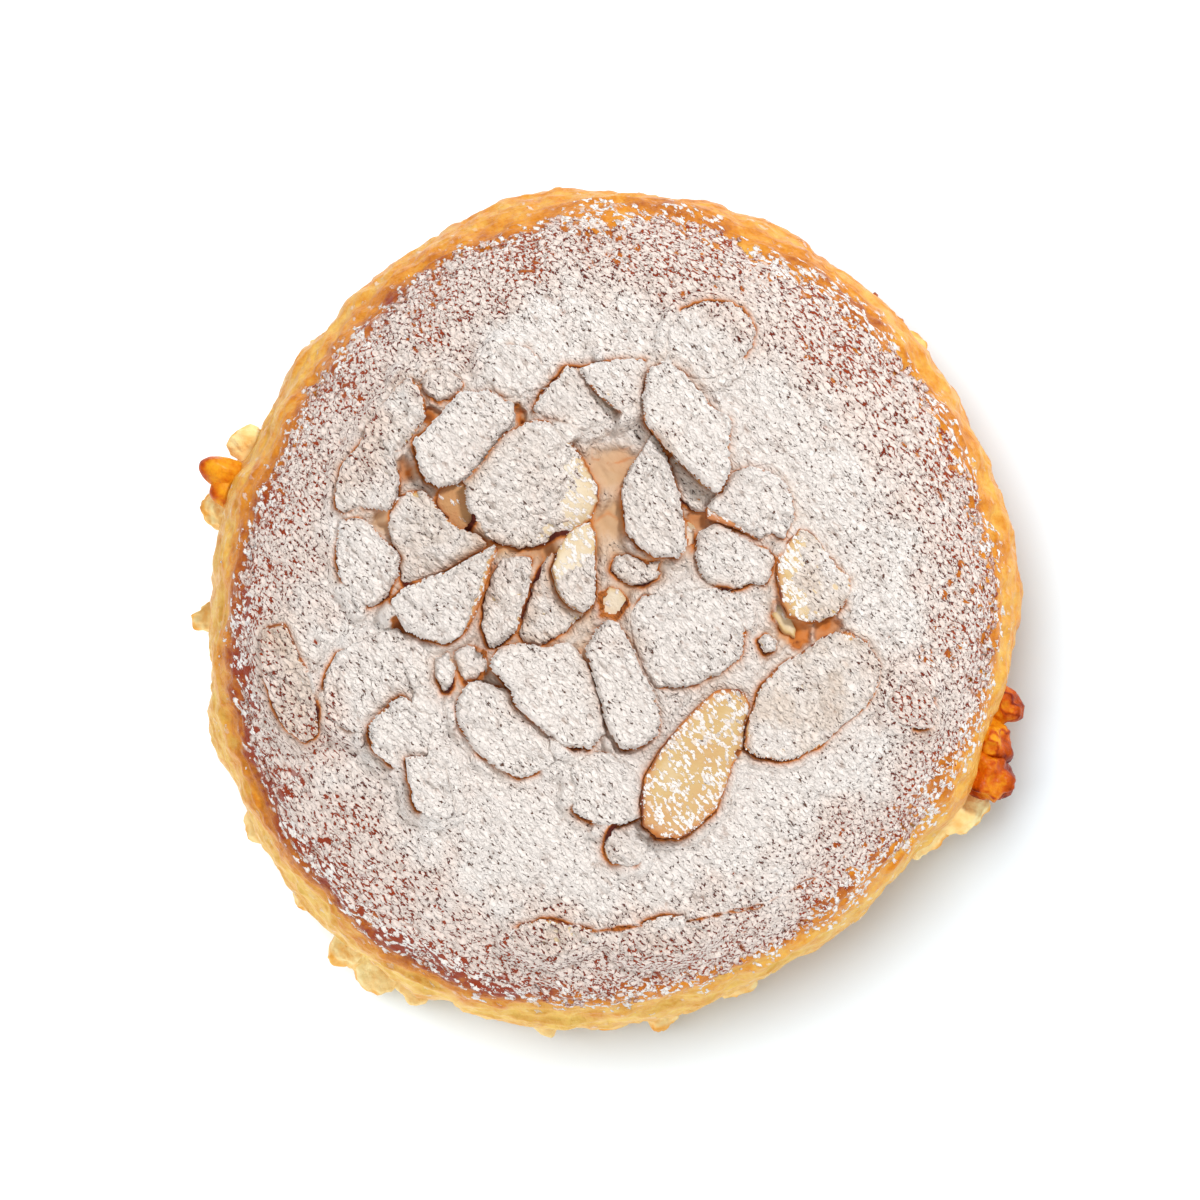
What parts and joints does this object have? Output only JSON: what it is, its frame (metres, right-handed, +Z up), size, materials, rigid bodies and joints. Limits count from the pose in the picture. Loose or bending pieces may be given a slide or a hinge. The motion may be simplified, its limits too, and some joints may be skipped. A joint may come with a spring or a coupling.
{
  "type": "bee sting bun",
  "caption": "Flat round yeast bun with a golden crust, baked crags round its flank, and flaked almonds under icing sugar on its crown.",
  "frame": {"origin": "middle of the flat base that the bun rests on", "axes": "+Z up through the crown, +X to the right and +Y to the far side of the picture, which looks straight down"},
  "size_m": [0.0984, 0.1001, 0.0373],
  "materials": {
    "crust": "baked golden crust, satin",
    "almond": "sliced almond, matte",
    "sugar": "icing sugar, powdery matte",
    "caramel": "baked caramel, glossy"
  },
  "bodies": {
    "root": {"bun": "crust", "almond_left_mound": "almond", "almond_left_low": "almond", "almond_left_slab": "almond", "almond_left_rim": "almond", "almond_far_right": "almond", "almond_near_left": "almond", "almond_near_right": "almond", "almond_far_left_small": "almond", "almond_far_left_low": "almond", "almond_right_rim": "almond", "almond_under_long": "almond", "almond_near_middle": "almond", "almond_peach_left": "almond", "almond_peach_right": "almond", "almond_left_broken": "almond", "almond_left_edge": "almond", "almond_left_long": "almond", "almond_far_broken_left": "almond", "almond_far_broken_right": "almond", "almond_middle_low": "almond", "almond_right_low": "almond", "almond_near_long": "almond", "almond_near_broad": "almond", "almond_middle_broad": "almond", "almond_broad_bare": "almond", "almond_middle_narrow": "almond", "almond_right_egg": "almond", "almond_right_large": "almond", "almond_right_broken": "almond", "almond_broad_left": "almond", "almond_half_moon": "almond", "almond_upright": "almond", "almond_far_leaf": "almond", "almond_teardrop": "almond", "almond_near_narrow": "almond", "almond_long_bare": "almond"}
  },
  "joints": []
}
